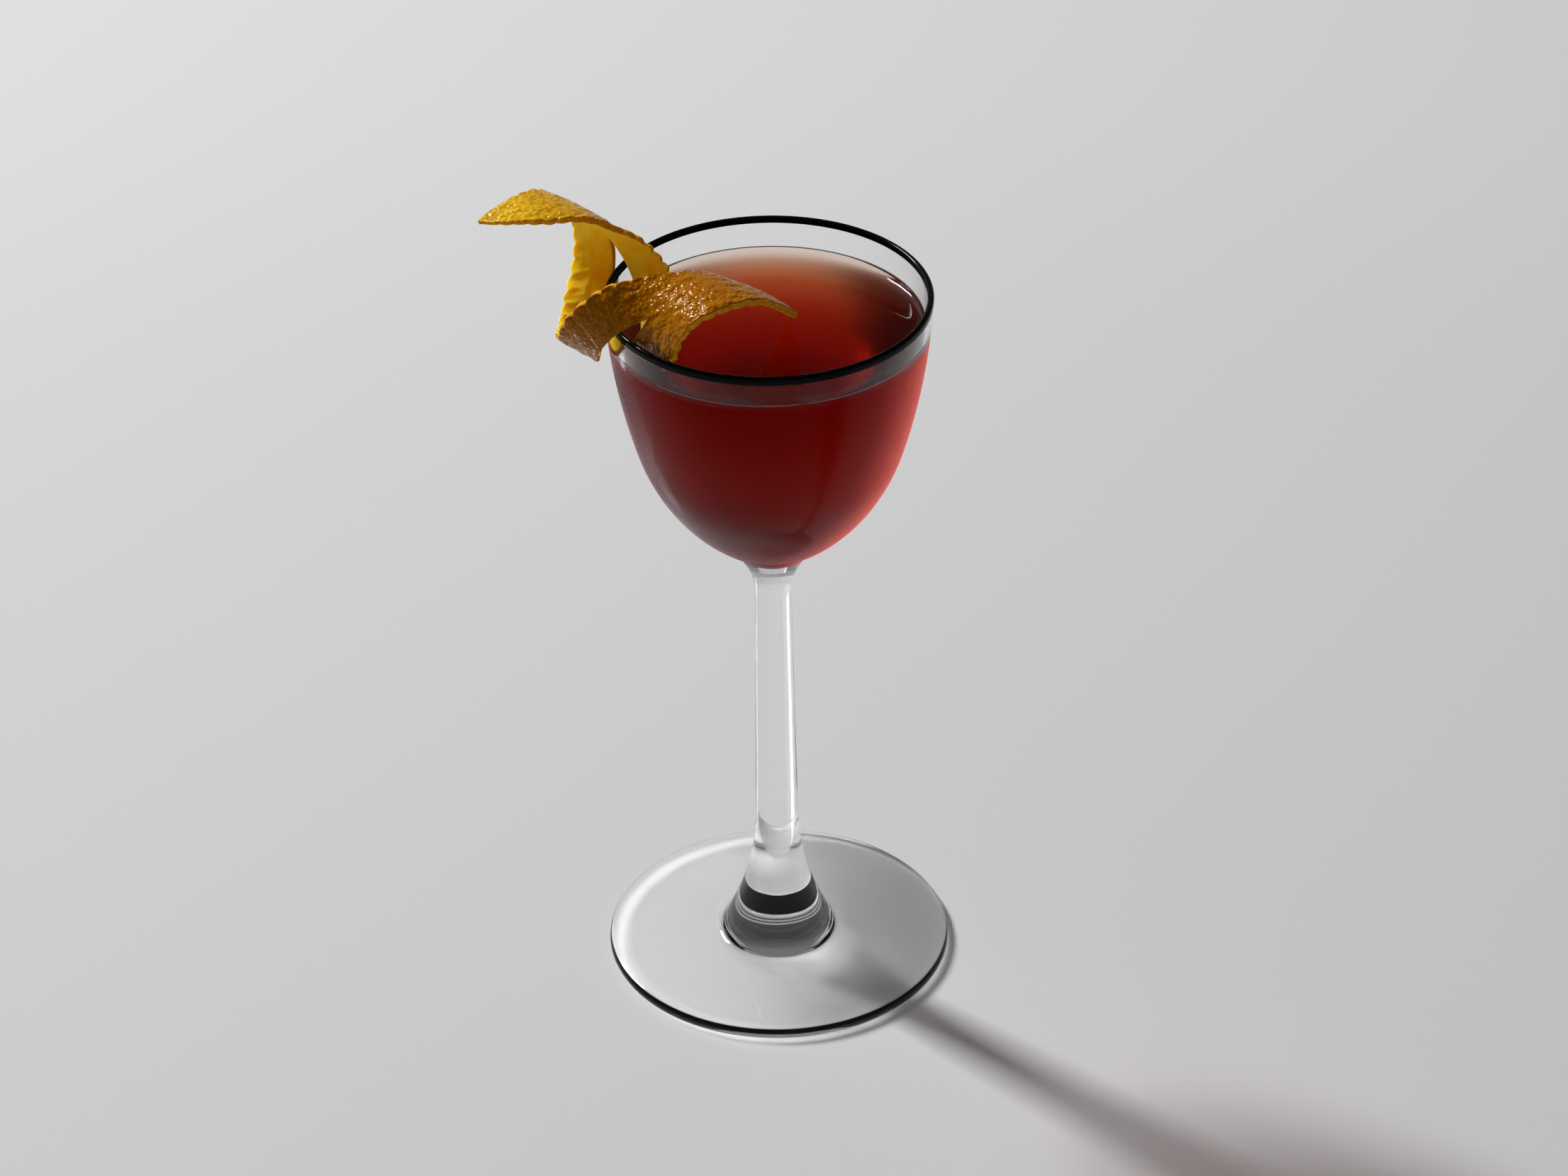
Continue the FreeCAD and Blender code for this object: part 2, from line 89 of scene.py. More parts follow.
def make_mesh(name, vertices, faces):
    """A smooth mesh object from metres, in the scene."""
    mesh = bpy.data.meshes.new(name)
    mesh.from_pydata([tuple(v) for v in vertices], [], [tuple(f) for f in faces])
    mesh.validate()
    shape = bmesh.new()
    shape.from_mesh(mesh)
    bmesh.ops.recalc_face_normals(shape, faces=shape.faces)
    shape.to_mesh(mesh)
    shape.free()
    mesh.polygons.foreach_set("use_smooth", [True] * len(mesh.polygons))
    mesh.update()
    piece = bpy.data.objects.new(name, mesh)
    bpy.context.scene.collection.objects.link(piece)
    return piece


def turn_profile(name, profile, segments=256):
    """Turn a profile of (radius, height) in millimetres about Z. A radius of 0 closes it."""
    vertices = []
    rows = []
    for radius, height in profile:
        if radius < 1e-6:
            rows.append([len(vertices)] * segments)
            vertices.append((0.0, 0.0, height * MM))
            continue
        rows.append(range(len(vertices), len(vertices) + segments))
        for k in range(segments):
            angle = 2 * math.pi * k / segments
            vertices.append(
                (radius * MM * math.cos(angle), radius * MM * math.sin(angle), height * MM)
            )
    faces = []
    for low, high in zip(rows, rows[1:]):
        for k in range(segments):
            after = (k + 1) % segments
            corners = (low[k], low[after], high[after], high[k])
            corners = tuple(dict.fromkeys(corners))
            if len(corners) > 2:
                faces.append(corners)
    return make_mesh(name, vertices, faces)


class GlassCurves:
    """The glass's half section as tangent arcs: centres, radii and angles in radians."""

    def __init__(self, v):
        rim, shoulder, waist, floor = [
            -math.radians(v[name]) for name in ("rim_lean", "shoulder_lean", "waist_lean", "floor_lean")
        ]
        self.rim, self.shoulder, self.waist, self.floor = rim, shoulder, waist, floor
        self.lip_radius = v["wall"] / 2
        self.lip_centre = np.array([v["rim_radius"], HEIGHT]) - self.lip_radius
        neck_end = np.array([v["stem_top_radius"], HEIGHT - v["bowl_height"]])
        stem_end = np.array([v["stem_low_radius"], v["flare_height"]])
        run = neck_end - stem_end
        self.stem = math.atan2(-run[0], run[1])
        self.neck_radius = v["neck_curve"]
        self.neck_centre = neck_end + toward(self.stem) * self.neck_radius
        waist_point = self.neck_centre - toward(waist) * self.neck_radius
        rim_out = self.lip_centre + toward(rim) * self.lip_radius
        across = np.column_stack(
            [toward(shoulder) - toward(rim), toward(waist) - toward(shoulder)]
        )
        self.upper_radius, self.lower_radius = np.linalg.solve(across, waist_point - rim_out)
        self.upper_centre = rim_out - toward(rim) * self.upper_radius
        shoulder_point = self.upper_centre + toward(shoulder) * self.upper_radius
        self.lower_centre = shoulder_point - toward(shoulder) * self.lower_radius
        floor_edge = self.lower_centre + toward(floor) * (self.lower_radius - v["wall"])
        self.floor_radius = floor_edge[0] / math.cos(floor)
        self.floor_centre = floor_edge - toward(floor) * self.floor_radius
        half = v["foot_edge"] / 2
        self.flare = math.radians(v["flare_lean"])
        self.top = math.radians(90.0 - v["foot_slope"])
        self.edge_radius = half
        self.edge_centre = np.array([FOOT_RADIUS - half, half])
        edge_top = self.edge_centre + toward(self.top) * half
        self.root_radius = v["root_curve"]
        root = (toward(self.flare) - toward(self.top)) * self.root_radius
        spread = toward(self.stem) - toward(self.flare)
        up = toward(self.top)
        self.flare_radius = (edge_top - stem_end - root).dot(up) / spread.dot(up)
        self.flare_centre = stem_end + toward(self.stem) * self.flare_radius
        flare_end = self.flare_centre - toward(self.flare) * self.flare_radius
        self.root_centre = flare_end + toward(self.flare) * self.root_radius
        self.ring_in = FOOT_RADIUS - half - v["ring_width"]
        rise = v["foot_hollow"]
        self.hollow_radius = (self.ring_in**2 + rise**2) / (2.0 * rise)
        self.hollow_centre = np.array([0.0, rise - self.hollow_radius])
        self.wall = v["wall"]

    def inner_wall(self, grow=0.0):
        """The inside of the bowl from the rim down to the middle of its floor, moved out by grow."""
        upper = self.upper_radius - self.wall + grow
        lower = self.lower_radius - self.wall + grow
        points = arc(self.upper_centre, upper, self.rim, self.shoulder, 40)
        points += arc(self.lower_centre, lower, self.shoulder, self.floor, 48)[1:]
        points += arc(self.floor_centre, self.floor_radius + grow, self.floor, -math.pi / 2, 24)[1:]
        points[-1][0] = 0.0
        return points

    def outer_wall(self):
        """The outside, from the rim down the bowl, the stem and the foot to its underside."""
        pi = math.pi
        points = arc(self.upper_centre, self.upper_radius, self.rim, self.shoulder, 40)
        points += arc(self.lower_centre, self.lower_radius, self.shoulder, self.waist, 48)[1:]
        points += arc(self.neck_centre, self.neck_radius, self.waist + pi, self.stem + pi, 24)
        points += arc(self.flare_centre, self.flare_radius, self.stem + pi, self.flare + pi, 24)
        points += arc(self.root_centre, self.root_radius, self.flare + pi, self.top + pi, 16)[1:]
        points += arc(self.edge_centre, self.edge_radius, self.top, -pi / 2, 20)
        hollow = math.asin(self.ring_in / self.hollow_radius)
        points += arc(self.hollow_centre, self.hollow_radius, pi / 2 - hollow, pi / 2, 24)
        points[-1][0] = 0.0
        return points

    def lip(self, grow=0.0):
        """Round the rim, from the inside to the outside."""
        return arc(self.lip_centre, self.lip_radius + grow, self.rim + math.pi, self.rim, 17)


curves = GlassCurves(GLASS)


# ---------------------------------------------------------------- camera and light
CAMERA_PLACE = Vector((0.0, -822.4, 623.6)) * MM
CAMERA_DOWN = math.radians(33.111)
CAMERA_RIGHT = math.radians(0.150)
CAMERA_ROLL = math.radians(-0.876)
LENS = 112.31


def make_camera():
    data = bpy.data.cameras.new("Camera")
    data.lens = LENS
    data.sensor_width = 36.0
    data.clip_start = 0.01
    data.clip_end = 20.0
    camera = bpy.data.objects.new("Camera", data)
    bpy.context.scene.collection.objects.link(camera)
    camera.matrix_world = (
        Matrix.Translation(CAMERA_PLACE)
        @ Matrix.Rotation(-CAMERA_RIGHT, 4, "Z")
        @ Matrix.Rotation(math.pi / 2 - CAMERA_DOWN, 4, "X")
        @ Matrix.Rotation(CAMERA_ROLL, 4, "Z")
    )
    bpy.context.scene.camera = camera


LAMP_TARGET = (0.0, 0.0, 0.05)
# Each lamp's name, its place and size in metres, and its power in watts.
LAMPS = (
    ("key", (-1.66, 1.58, 1.92), (0.32, 0.9), 108.0),
    ("window", (-1.9, 1.8, 1.75), (1.9, 1.9), 9.0),
)


def make_lamp(name, place, size, power):
    """A rectangular lamp that faces the glass. Neither the camera nor what glass refracts shows it."""
    data = bpy.data.lights.new(name, "AREA")
    data.shape = "RECTANGLE"
    data.size, data.size_y = size
    data.energy = power
    lamp = bpy.data.objects.new(name, data)
    bpy.context.scene.collection.objects.link(lamp)
    lamp.location = place
    lamp.rotation_euler = (Vector(LAMP_TARGET) - Vector(place)).to_track_quat("-Z", "Y").to_euler()
    lamp.visible_camera = False
    lamp.visible_transmission = False


# ---------------------------------------------------------------- shader helpers
def node(tree, kind, **values):
    """A shader node, with its settings and its inputs' values by name."""
    made = tree.nodes.new("ShaderNode" + kind)
    for key, value in values.items():
        name = key.replace("_", " ")
        if name in made.inputs:
            made.inputs[name].default_value = value
        else:
            setattr(made, key, value)
    return made


def link(tree, source, target):
    tree.links.new(source, target)


def place_on(tree, axis):
    """The place along an axis of the object, in metres."""
    place = node(tree, "TexCoord")
    parts = node(tree, "SeparateXYZ")
    link(tree, place.outputs["Object"], parts.inputs[0])
    return parts.outputs[axis]


def noise(tree, scale, detail=3.0, roughness=0.5):
    """Noise in the object's own metres."""
    place = node(tree, "TexCoord")
    made = node(tree, "TexNoise", Scale=scale, Detail=detail, Roughness=roughness)
    link(tree, place.outputs["Object"], made.inputs["Vector"])
    return made.outputs["Fac"]


def remap(tree, value, low, high, to_low, to_high):
    """A value's range from low to high, turned into another range and held inside it."""
    made = node(tree, "MapRange", From_Min=low, From_Max=high, To_Min=to_low, To_Max=to_high)
    link(tree, value, made.inputs["Value"])
    return made.outputs["Result"]


def ramp(tree, value, stops):
    """Colours (place, (r, g, b)) along a value."""
    made = node(tree, "ValToRGB")
    elements = made.color_ramp.elements
    while len(elements) < len(stops):
        elements.new(0.5)
    for element, (place, colour) in zip(elements, stops):
        element.position = place
        element.color = (*colour, 1)
    link(tree, value, made.inputs[0])
    return made.outputs[0]


def follow(tree, value, stops):
    """A number that follows stops of (value, number)."""
    low, high = stops[0][0], stops[-1][0]
    share = remap(tree, value, low, high, 0.0, 1.0)
    return ramp(tree, share, [((at - low) / (high - low), (number,) * 3) for at, number in stops])


def by_place(tree, axis, stops):
    """A number that follows stops of (place in millimetres, number) along an axis."""
    return follow(tree, place_on(tree, axis), [(at * MM, number) for at, number in stops])


def by_side(tree, side, stops):
    """A number that follows stops of (how far the surface faces a side of the piece, number)."""
    place = node(tree, "TexCoord")
    made = node(tree, "VectorMath", operation="DOT_PRODUCT")
    made.inputs[1].default_value = side
    link(tree, place.outputs["Normal"], made.inputs[0])
    return follow(tree, made.outputs["Value"], stops)


def combine(tree, operation, one, other):
    made = node(tree, "Math", operation=operation)
    link(tree, one, made.inputs[0])
    link(tree, other, made.inputs[1])
    return made.outputs[0]


def times(tree, one, other):
    return combine(tree, "MULTIPLY", one, other)


def larger(tree, one, other):
    return combine(tree, "MAXIMUM", one, other)


def blend(tree, share, one, other):
    """Mix two colours by a share; each colour is a socket or three numbers."""
    made = node(tree, "Mix", data_type="RGBA")
    link(tree, share, made.inputs[0])
    for value, socket in ((one, made.inputs[6]), (other, made.inputs[7])):
        if isinstance(value, tuple):
            socket.default_value = (*value, 1)
        else:
            link(tree, value, socket)
    return made.outputs[2]


def add_bump(tree, shader, height, strength, distance):
    bump = node(tree, "Bump", Strength=strength, Distance=distance)
    link(tree, height, bump.inputs["Height"])
    link(tree, bump.outputs[0], shader.inputs["Normal"])


def let_lamps_through(tree, shader, tint):
    """Glass that lamps shine through: their shadow rays meet a plain tint instead of the shader."""
    path = node(tree, "LightPath")
    clear = node(tree, "BsdfTransparent")
    if isinstance(tint, tuple):
        clear.inputs["Color"].default_value = (*tint, 1)
    else:
        link(tree, tint, clear.inputs["Color"])
    mix = node(tree, "MixShader")
    link(tree, path.outputs["Is Shadow Ray"], mix.inputs[0])
    link(tree, shader.outputs[0], mix.inputs[1])
    link(tree, clear.outputs[0], mix.inputs[2])
    link(tree, mix.outputs[0], tree.nodes["Material Output"].inputs["Surface"])


def new_material(name):
    material = bpy.data.materials.new(name)
    material.use_nodes = True
    return material, material.node_tree, material.node_tree.nodes["Principled BSDF"]


def clear_material(name, ior):
    """A material that light passes through."""
    material, tree, shader = new_material(name)
    shader.inputs["Base Color"].default_value = (1, 1, 1, 1)
    shader.inputs["Roughness"].default_value = 0.0
    shader.inputs["IOR"].default_value = ior
    shader.inputs["Transmission Weight"].default_value = 1.0
    return material, tree, shader


# ---------------------------------------------------------------- the room
SEEN_TONE = (0.6, 0.6, 0.61)
ROOM_TINT = np.array([1.0, 1.005, 1.02])
# How bright the room is, by the sine of the height above the horizon: pale at the horizon and
# under it, then two pale bands, and dimmer overhead, so that clear glass shows dark and bright lines.
ROOM_LIGHT = (
    (0.0, 0.3),
    (0.12, 0.25),
    (0.24, 0.04),
    (0.27, 0.04),
    (0.3, 0.3),
    (0.35, 0.3),
    (0.38, 0.04),
    (0.41, 0.04),
    (0.43, 0.3),
    (0.46, 0.3),
    (0.5, 0.05),
    (0.62, 0.05),
    (0.8, 0.14),
    (1.0, 0.16),
)


def make_world():
    """A dim room with pale bands. Only the camera's own rays meet a plain tone like the floor's."""
    world = bpy.data.worlds.new("World")
    bpy.context.scene.world = world
    world.use_nodes = True
    tree = world.node_tree
    tree.nodes.clear()
    path = node(tree, "LightPath")
    seen = node(tree, "Background", Color=(*SEEN_TONE, 1))
    direction = node(tree, "TexCoord")
    parts = node(tree, "SeparateXYZ")
    link(tree, direction.outputs["Generated"], parts.inputs[0])
    light = ramp(tree, parts.outputs["Z"], [(at, tuple(ROOM_TINT * level)) for at, level in ROOM_LIGHT])
    lit = node(tree, "Background")
    link(tree, light, lit.inputs["Color"])
    mix = node(tree, "MixShader")
    out = node(tree, "OutputWorld")
    link(tree, path.outputs["Is Camera Ray"], mix.inputs[0])
    link(tree, lit.outputs[0], mix.inputs[1])
    link(tree, seen.outputs[0], mix.inputs[2])
    link(tree, mix.outputs[0], out.inputs["Surface"])


FLOOR_HALF = 3.0
FLOOR_DROP = 0.0002
FLOOR_COLOUR = (0.64, 0.64, 0.645)
FLOOR_ROUGHNESS = 0.12


def make_floor():
    """A pale polished floor, a hair below the foot."""
    half = FLOOR_HALF
    corners = [(-half, -half, 0), (half, -half, 0), (half, half, 0), (-half, half, 0)]
    floor = make_mesh("floor", corners, [(0, 1, 2, 3)])
    floor.location.z = -FLOOR_DROP
    material, _, shader = new_material("floor")
    shader.inputs["Base Color"].default_value = (*FLOOR_COLOUR, 1)
    shader.inputs["Roughness"].default_value = FLOOR_ROUGHNESS
    floor.data.materials.append(material)


# ---------------------------------------------------------------- materials of glass and drink
GLASS_IOR = 1.5
DRINK_IOR = 1.36
# What one surface lets through of a lamp's light, by (millimetres along an axis, share).
BOWL_SHADE = 0.85
STEM_SHADE = ("Z", ((8, 0.6), (18, 0.5), (35, 0.1)))
EDGE_SHADE = ("X", ((-36, 0.9), (-5, 0.75), (18, 0.1), (36, 0.0)))
FOOT_SHADE = ("X", ((-36, 0.55), (-12, 0.5), (0, 0.32), (12, 0.08), (24, 0.0)))
BOWL_SHINE = 0.15


def glass_material(name, shade, shine):
    """Clear glass, faintly uneven as drawn glass is, with a trace of smears.

    shade is what one surface lets through of a lamp's light, and shine how much it mirrors.
    """
    material, tree, shader = clear_material(name, GLASS_IOR)
    shader.inputs["Specular Tint"].default_value = (shine, shine, shine, 1)
    add_bump(tree, shader, noise(tree, 70.0, 1.0), 0.25, 0.0004)
    smears = noise(tree, 160.0, 4.0)
    link(tree, remap(tree, smears, 0.55, 0.8, 0.0, 0.05), shader.inputs["Roughness"])
    if isinstance(shade, float):
        let_lamps_through(tree, shader, (shade, shade, shade))
    else:
        let_lamps_through(tree, shader, by_place(tree, *shade))
    return material


# The film's colours: a painted deep red and a painted red glow for light from the drink, then their
# painted emission; the mist, which has painted sheen; painted pale; and no emission.
MIST_AND_SHEEN = (0.38, 0.24, 0.27)
PAINTED_GLOW = (0.95, 0.09, 0.05)
PAINTED_DEEP_RED = (0.30, 0.004, 0.006)
PAINTED_PALE = (0.8, 0.78, 0.8)
PAINTED_GLOW_LIGHT = (0.50, 0.045, 0.025)
PAINTED_DEEP_GLOW = (0.02, 0.0, 0.0)
DARK = (0.0, 0.0, 0.0)
# The sides of the glass on which the film is thick. They are chosen so that its edges lie along
# the bowl's outline when the glass is seen from the front and above, as in the photo.
LEFT_SIDE = (-0.70, 0.24, -0.67)
RIGHT_SIDE = (0.70, 0.24, -0.67)
# By how far the surface faces one of those sides: cover or share.
# On the left, the mist's cover: real mist, thickened toward the side as painted sheen.
MIST_AND_SHEEN_COVER = ((0.3, 0.0), (0.5, 0.35), (0.7, 0.9), (1.0, 0.9))
# On the right, the cover of the painted red glow, and how much of it is bright.
PAINTED_GLOW_COVER = ((0.2, 0.0), (0.45, 0.45), (0.65, 0.9), (1.0, 1.0))
PAINTED_GLOW_SHARE = ((0.35, 0.0), (0.6, 0.55), (0.8, 1.0), (1.0, 1.0))
# Up the bowl, by height in millimetres.
# The painted deep red low on the bowl, and under it the painted pale, for the light seen through the
# drink and the thick glass under it.
PAINTED_RED_LOW_COVER = ((96.2, 0.0), (97.5, 0.75), (104, 0.5), (113, 0.0))
PAINTED_PALE_COVER = ((94.5, 0.6), (96.2, 0.5), (97.5, 0.0))
PAINTED_PALE_SHARE = ((96.2, 1.0), (97.8, 0.0))


def misted_glass_painted_light_material():
    """The outside of the bowl where cold drink is behind it: a film of fine mist, thick at the sides.

    The drink's own surface stands for the glass's there, so the film lets everything else through.
    The mist thickens toward the sides as painted sheen. On the right, away from the lamps, the film
    is painted red, with a faint painted glow of its own, for the light that the drink gathers like a
    lens. Low down it is painted deep red, and under that painted pale, for the light seen through the
    drink and the pale thick glass under it.
    """
    material, tree, shader = new_material("misted_glass_painted_light")
    shader.inputs["Roughness"].default_value = 0.5
    shader.inputs["Specular IOR Level"].default_value = 0.1
    # The film's emission is painted glow.
    shader.inputs["Emission Strength"].default_value = 1.0
    grain = remap(tree, noise(tree, 2600.0, 3.0, 0.7), 0.42, 0.68, 0.5, 1.0)
    patches = remap(tree, noise(tree, 60.0, 2.0), 0.35, 0.6, 0.75, 1.0)
    # Painted sparkle: the mist's grain where it catches the painted red light.
    painted_sparkle = remap(tree, grain, 0.5, 1.0, 0.8, 1.0)
    # left is the mist, thickened toward the side as painted sheen; right and bright place the painted
    # red glow; pale is the painted pale low down.
    left = by_side(tree, LEFT_SIDE, MIST_AND_SHEEN_COVER)
    right = by_side(tree, RIGHT_SIDE, PAINTED_GLOW_COVER)
    bright = times(tree, by_side(tree, RIGHT_SIDE, PAINTED_GLOW_SHARE), painted_sparkle)
    pale = by_place(tree, "Z", PAINTED_PALE_SHARE)

    mist = times(tree, times(tree, grain, patches), left)
    # The painted red: a glow on the right, and deep red low on the bowl.
    red = larger(tree, times(tree, painted_sparkle, right), by_place(tree, "Z", PAINTED_RED_LOW_COVER))
    film = larger(tree, mist, red)
    link(tree, larger(tree, film, by_place(tree, "Z", PAINTED_PALE_COVER)), shader.inputs["Alpha"])

    # Base colour, then emission: painted deep red and painted glow on the right, the mist on the left,
    # and painted pale low down.
    for deep, glow, mist_colour, pale_colour, socket in (
        (PAINTED_DEEP_RED, PAINTED_GLOW, MIST_AND_SHEEN, PAINTED_PALE, "Base Color"),
        (PAINTED_DEEP_GLOW, PAINTED_GLOW_LIGHT, DARK, DARK, "Emission Color"),
    ):
        colour = blend(tree, left, blend(tree, bright, deep, glow), mist_colour)
        link(tree, blend(tree, pale, colour, pale_colour), shader.inputs[socket])
    return material


def wetted_glass_material():
    """The inside of the bowl under the drink's level, where the drink's own surface stands for both."""
    material, _, shader = clear_material("wetted_glass", 1.0)
    shader.inputs["Alpha"].default_value = 0.0
    return material


def band_material():
    """A black band with a soft gloss and a slightly uneven skin."""
    material, tree, shader = new_material("black_band")
    shader.inputs["Base Color"].default_value = (0.002, 0.002, 0.002, 1)
    shader.inputs["Specular IOR Level"].default_value = 0.06
    link(tree, remap(tree, noise(tree, 300.0, 3.0), 0.3, 0.7, 0.04, 0.1), shader.inputs["Roughness"])
    add_bump(tree, shader, noise(tree, 500.0, 2.0), 0.15, 0.0001)
    return material


DRINK_COLOUR = (0.84, 0.368, 0.036)
DRINK_DENSITY = 220.0
DRINK_SHADE = (0.8, 0.25, 0.06)
# How rough the drink's side is toward its left, along X, and its back, along Y, by millimetres.
BLUR_LEFT = ((-28, 0.45), (-14, 0.0))
BLUR_BACK = ((-10, 0.1), (10, 0.3))
# How far under the level, in millimetres, this blur is full and how far under it the blur ends.
BLUR_FULL = 1.5
BLUR_END = 0.2


def drink_material():
    """Clear deep red liquid, almost still on top; its sides take the mist's blur."""
    material, tree, shader = clear_material("red_drink", DRINK_IOR)
    shader.inputs["Specular Tint"].default_value = (0.03, 0.03, 0.03, 1)
    height = place_on(tree, "Z")
    below = remap(tree, height, (LEVEL - BLUR_FULL) * MM, (LEVEL - BLUR_END) * MM, 1.0, 0.0)
    sides = larger(tree, by_place(tree, "X", BLUR_LEFT), by_place(tree, "Y", BLUR_BACK))
    link(tree, times(tree, below, sides), shader.inputs["Roughness"])
    add_bump(tree, shader, noise(tree, 90.0, 1.0), 0.12, 0.0003)
    let_lamps_through(tree, shader, DRINK_SHADE)
    volume = node(tree, "VolumeAbsorption", Color=(*DRINK_COLOUR, 1), Density=DRINK_DENSITY)
    link(tree, volume.outputs[0], tree.nodes["Material Output"].inputs["Volume"])
    return material


# ---------------------------------------------------------------- materials of the peel
# Along the strip, from the back tip to the front tip: partly the peel's own tone and partly painted
# light and shade, lighter and yellower toward the back tip and darker through the middle.
SKIN_TONE_AND_PAINTED_LIGHT = (
    (0.0, (0.84, 0.52, 0.01)),
    (0.18, (0.66, 0.34, 0.002)),
    (0.40, (0.42, 0.15, 0.0)),
    (0.55, (0.37, 0.12, 0.0)),
    (0.80, (0.39, 0.14, 0.0)),
    (0.92, (0.48, 0.18, 0.0)),
    (1.0, (0.5, 0.21, 0.01)),
)
SKIN_MOTTLE = (0.28, 0.09, 0.0)
# Painted shade in the grooves between the pebbles.
PAINTED_GROOVE_SHADE = (0.18, 0.05, 0.0)
PITH_COLOURS = (0.92, 0.57, 0.003), (0.98, 0.72, 0.025)
CUT_COLOURS = (0.62, 0.28, 0.005), (0.72, 0.40, 0.02)


def zest(tree, shader, height, strength, distance, glow):
    """Soft light inside the peel, and its fine relief."""
    shader.inputs["Specular IOR Level"].default_value = 0.13
    shader.inputs["Specular Tint"].default_value = (1.0, 0.75, 0.4, 1)
    shader.inputs["Subsurface Weight"].default_value = glow
    shader.inputs["Subsurface Radius"].default_value = (1.0, 0.42, 0.08)
    shader.inputs["Subsurface Scale"].default_value = 0.0022
    add_bump(tree, shader, height, strength, distance)


def skin_material():
    """Waxy orange skin of pebbles, shade painted between them; yellower to the back tip, partly painted
    light.
    """
    material, tree, shader = new_material("orange_skin")
    along = node(tree, "Attribute", attribute_name="along")
    # The strip's tone, with painted light and shade along it.
    base = ramp(tree, along.outputs["Fac"], SKIN_TONE_AND_PAINTED_LIGHT)
    mottle = remap(tree, noise(tree, 260.0, 4.0), 0.35, 0.7, 0.0, 0.4)
    cells = node(tree, "TexVoronoi", feature="SMOOTH_F1", Scale=1350.0)
    place = node(tree, "TexCoord")
    link(tree, place.outputs["Object"], cells.inputs["Vector"])
    # Painted shade in the grooves between the pebbles.
    groove_shade = remap(tree, cells.outputs["Distance"], 0.3, 0.6, 0.0, 0.45)
    colour = blend(tree, groove_shade, blend(tree, mottle, base, SKIN_MOTTLE), PAINTED_GROOVE_SHADE)
    link(tree, colour, shader.inputs["Base Color"])
    link(tree, remap(tree, noise(tree, 900.0, 2.0), 0.3, 0.7, 0.10, 0.2), shader.inputs["Roughness"])
    pebbles = remap(tree, cells.outputs["Distance"], 0.0, 0.6, 1.0, 0.0)
    zest(tree, shader, pebbles, 1.0, 0.00016, 0.1)
    return material


def pith_material():
    """The inner side: little pith is left, so the skin's colour shows through in mottles."""
    material, tree, shader = new_material("orange_pith")
    mottle = remap(tree, noise(tree, 420.0, 5.0, 0.6), 0.35, 0.65, 0.0, 1.0)
    link(tree, blend(tree, mottle, *PITH_COLOURS), shader.inputs["Base Color"])
    shader.inputs["Roughness"].default_value = 0.6
    zest(tree, shader, noise(tree, 1300.0, 4.0, 0.6), 0.5, 0.0002, 0.8)
    return material


def cut_material():
    """The cut edges, with a ragged grain."""
    material, tree, shader = new_material("orange_cut")
    grain = remap(tree, noise(tree, 1600.0, 4.0, 0.6), 0.35, 0.65, 0.0, 1.0)
    link(tree, blend(tree, grain, *CUT_COLOURS), shader.inputs["Base Color"])
    shader.inputs["Roughness"].default_value = 0.5
    zest(tree, shader, grain, 0.6, 0.0002, 0.6)
    return material


# ---------------------------------------------------------------- the glass and the drink
BOWL, MISTED_PAINTED_LIGHT, WETTED, STEM, EDGE, FOOT = range(6)
MIST_BOTTOM = 94.5      # height at which the film on the outside begins
STEM_BOTTOM = 8.0       # height under which the foot's glass begins
WALL_LEFT = 0.1         # how much of the glass's wall is left outside the drink
DRINK_LOW = 93.5        # height of the drink's bottom in the middle
DRINK_CORNER = 8.0      # the drink follows the wall outside this radius, and is rounded inside it
MENISCUS_HEIGHT = 1.1
MENISCUS_REACH = 8.8    # how far in from the wall it is shaped
MENISCUS_FALL = 1.0     # it falls to 1/e over this distance
MENISCUS_CROWD = 1.6    # how closely its rings crowd to the wall
DRINK_FLOOR_POINTS = 16
MENISCUS_POINTS = 22
SURFACE_POINTS = 8


def paint_rows(piece, kinds):
    """Give each turned row of faces its material."""
    per_row = len(piece.data.polygons) // len(kinds)
    piece.data.polygons.foreach_set("material_index", [k for k in kinds for _ in range(per_row)])


def make_glass():
    """The whole glass in one turned piece, with a material for each kind of surface."""
    profile = curves.inner_wall()[::-1] + curves.lip()[1:-1] + curves.outer_wall()
    piece = turn_profile("glass_body", profile)
    kinds = []
    inside = len(curves.inner_wall()) - 1
    for n, (low, high) in enumerate(zip(profile, profile[1:])):
        radius, height = (low + high) / 2
        if n < inside:
            kinds.append(WETTED if height < LEVEL + MENISCUS_HEIGHT else BOWL)
        elif height > MIST_BOTTOM:
            kinds.append(MISTED_PAINTED_LIGHT if height < LEVEL else BOWL)
        elif height > STEM_BOTTOM:
            kinds.append(STEM)
        else:
            kinds.append(EDGE if radius > curves.ring_in else FOOT)
    paint_rows(piece, kinds)
    for material in (
        glass_material("bowl_glass", BOWL_SHADE, BOWL_SHINE),
        misted_glass_painted_light_material(),
        wetted_glass_material(),
        glass_material("stem_glass", STEM_SHADE, 1.0),
        glass_material("edge_glass", EDGE_SHADE, 1.0),
        glass_material("foot_glass", FOOT_SHADE, 1.0),
    ):
        piece.data.materials.append(material)
    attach(piece, "root")
    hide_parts("glass")


BAND_OUTSIDE = 1.0      # below the lip
BAND_INSIDE = 0.6
BAND_PROUD = 0.04
BAND_SUNK = 0.05


def band_side(grow):
    """The band's section from its inner end over the lip to its outer end, grown off the glass."""
    upper = curves.upper_radius
    inside = curves.rim - BAND_INSIDE / upper
    outside = curves.rim - BAND_OUTSIDE / upper
    return (
        arc(curves.upper_centre, upper - curves.wall - grow, inside, curves.rim, 4)[:-1]
        + curves.lip(grow)
        + arc(curves.upper_centre, upper + grow, curves.rim, outside, 5)[1:]
    )


